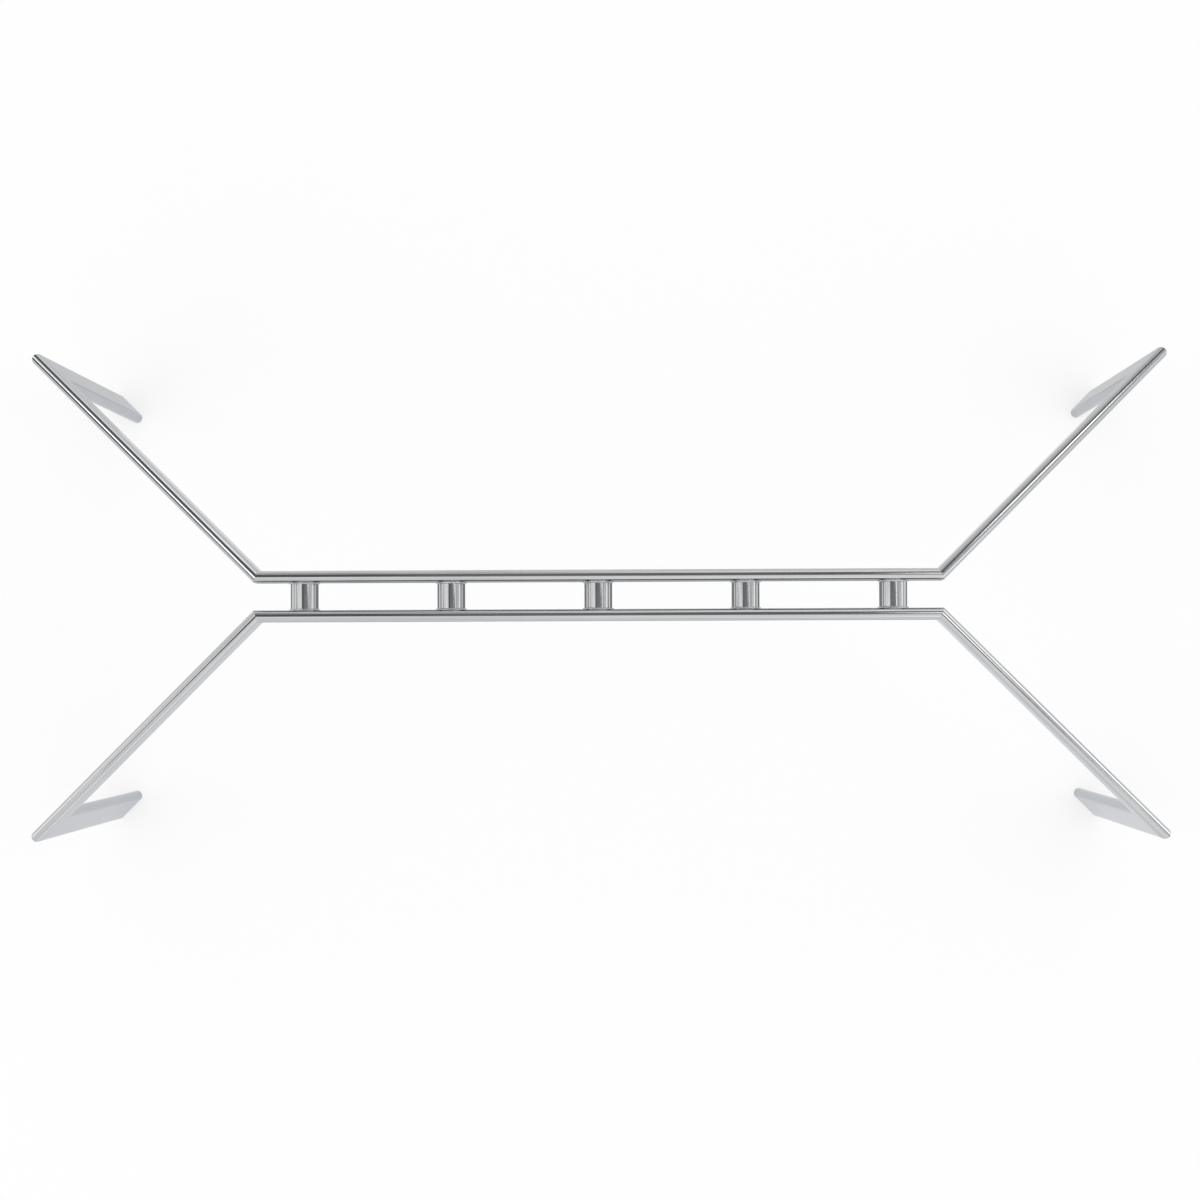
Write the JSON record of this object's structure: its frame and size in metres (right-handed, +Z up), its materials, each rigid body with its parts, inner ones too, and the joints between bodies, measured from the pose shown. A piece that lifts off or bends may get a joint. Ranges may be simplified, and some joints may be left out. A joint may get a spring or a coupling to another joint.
{
  "type": "dining table base",
  "caption": "Open frame of polished flat-oval steel tube on edge: parallel rails joined by round spacers, splayed arms and upright legs that carry a flat table top.",
  "frame": {"origin": "on the floor, under the middle of the frame", "axes": "+X along the two rails, +Z up; +Y from the front rail to the rear rail"},
  "size_m": [1.9572, 0.8432, 0.735],
  "materials": {
    "polished_steel": "mirror-polished steel, with faint lengthwise polishing lines",
    "spacer_steel": "mirror-polished steel, with faint polishing lines round the tube",
    "weld_bead": "ground and buffed weld",
    "pad_nylon": "moulded natural nylon"
  },
  "bodies": {
    "root": {"rail_front": "polished_steel", "rail_rear": "polished_steel", "arm_front_left": "polished_steel", "arm_front_right": "polished_steel", "arm_rear_left": "polished_steel", "arm_rear_right": "polished_steel", "leg_front_left": "polished_steel", "leg_front_right": "polished_steel", "leg_rear_left": "polished_steel", "leg_rear_right": "polished_steel", "foot_plate_front_left": "polished_steel", "foot_plate_front_right": "polished_steel", "foot_plate_rear_left": "polished_steel", "foot_plate_rear_right": "polished_steel", "floor_pad_front_left": "pad_nylon", "floor_pad_front_right": "pad_nylon", "floor_pad_rear_left": "pad_nylon", "floor_pad_rear_right": "pad_nylon", "spacer_1": "spacer_steel", "spacer_2": "spacer_steel", "spacer_3": "spacer_steel", "spacer_4": "spacer_steel", "spacer_5": "spacer_steel", "spacer_weld_1": "weld_bead", "spacer_weld_2": "weld_bead", "spacer_weld_3": "weld_bead", "spacer_weld_4": "weld_bead", "spacer_weld_5": "weld_bead"}
  },
  "joints": []
}
